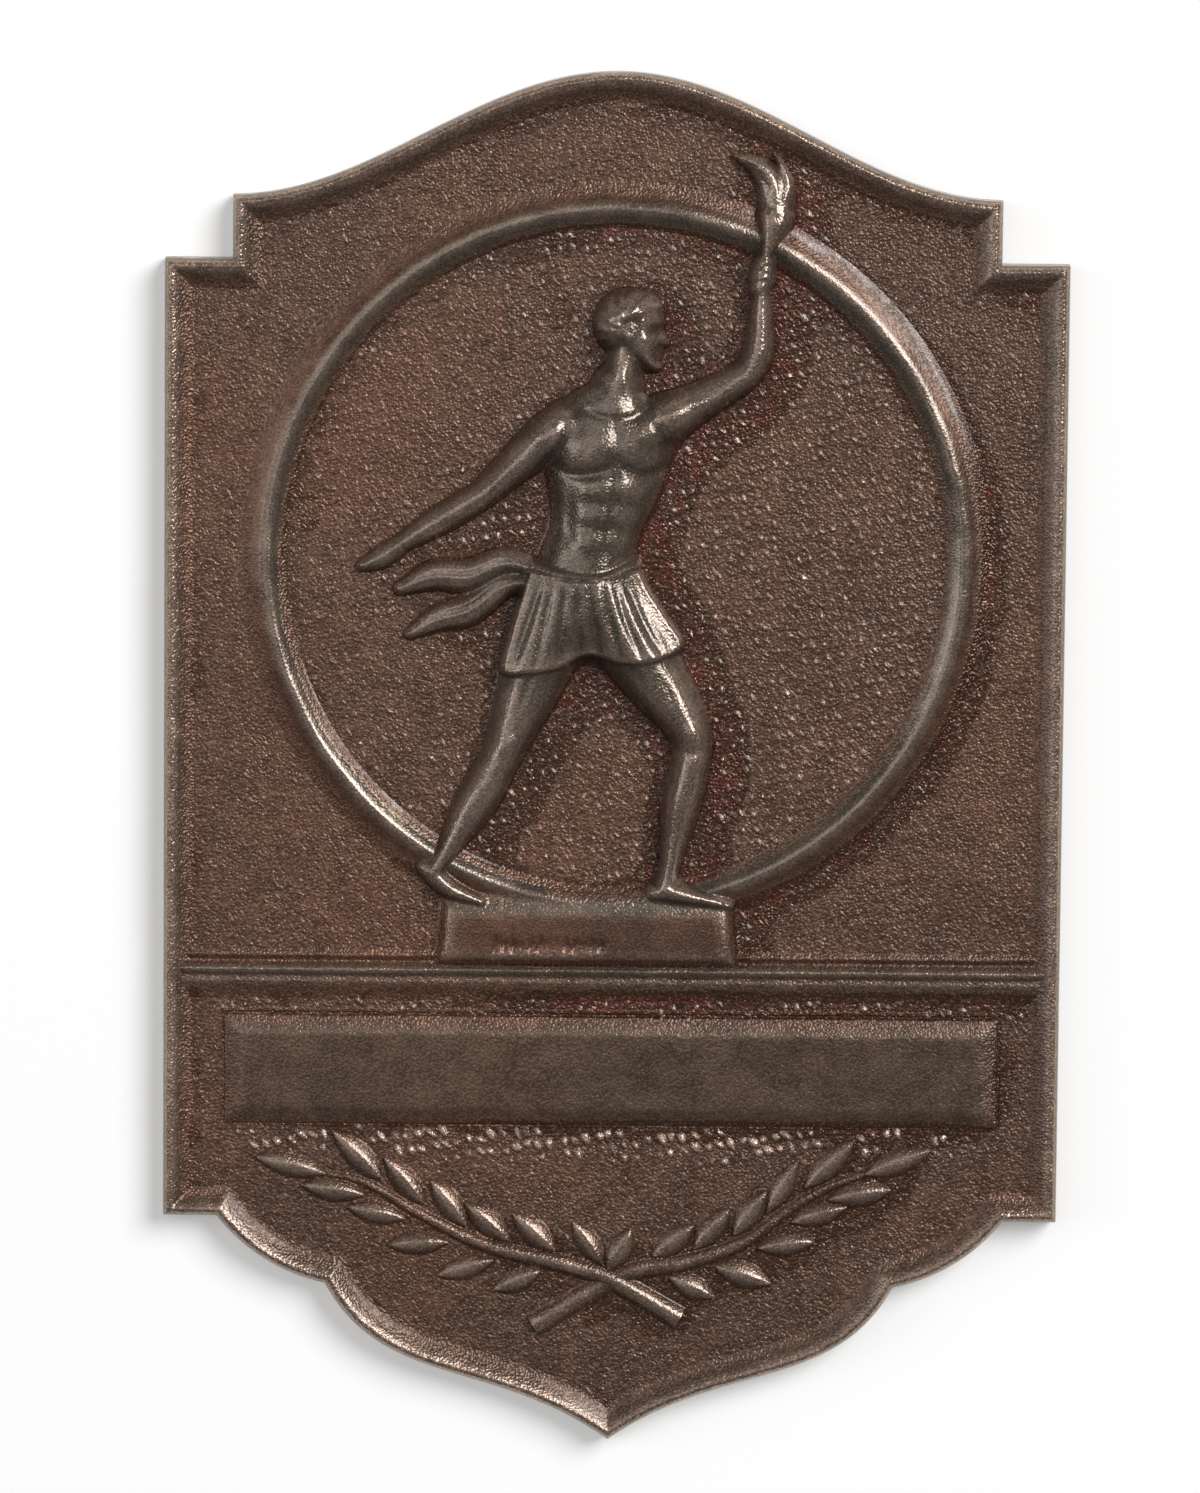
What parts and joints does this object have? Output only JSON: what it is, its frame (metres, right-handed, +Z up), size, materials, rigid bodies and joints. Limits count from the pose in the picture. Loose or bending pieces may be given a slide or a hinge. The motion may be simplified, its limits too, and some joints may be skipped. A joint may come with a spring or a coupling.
{
  "type": "bronze plaque",
  "caption": "Cast bronze award plaque with a crowned top and lobed foot, a raised rim, a ring framing a torch runner in relief, a blank nameplate and crossed laurel sprays.",
  "frame": {"origin": "centre of the flat back face, half way up the plaque", "axes": "+Z up the plaque, +X to the right as seen from the front, +Y out of the flat back into the wall; the relief faces -Y"},
  "size_m": [0.076, 0.0062, 0.116],
  "materials": {
    "bronze": "brown patinated cast bronze, worn brighter on the crests, fine sand grain"
  },
  "bodies": {
    "root": {"plaque": "bronze"}
  },
  "joints": []
}
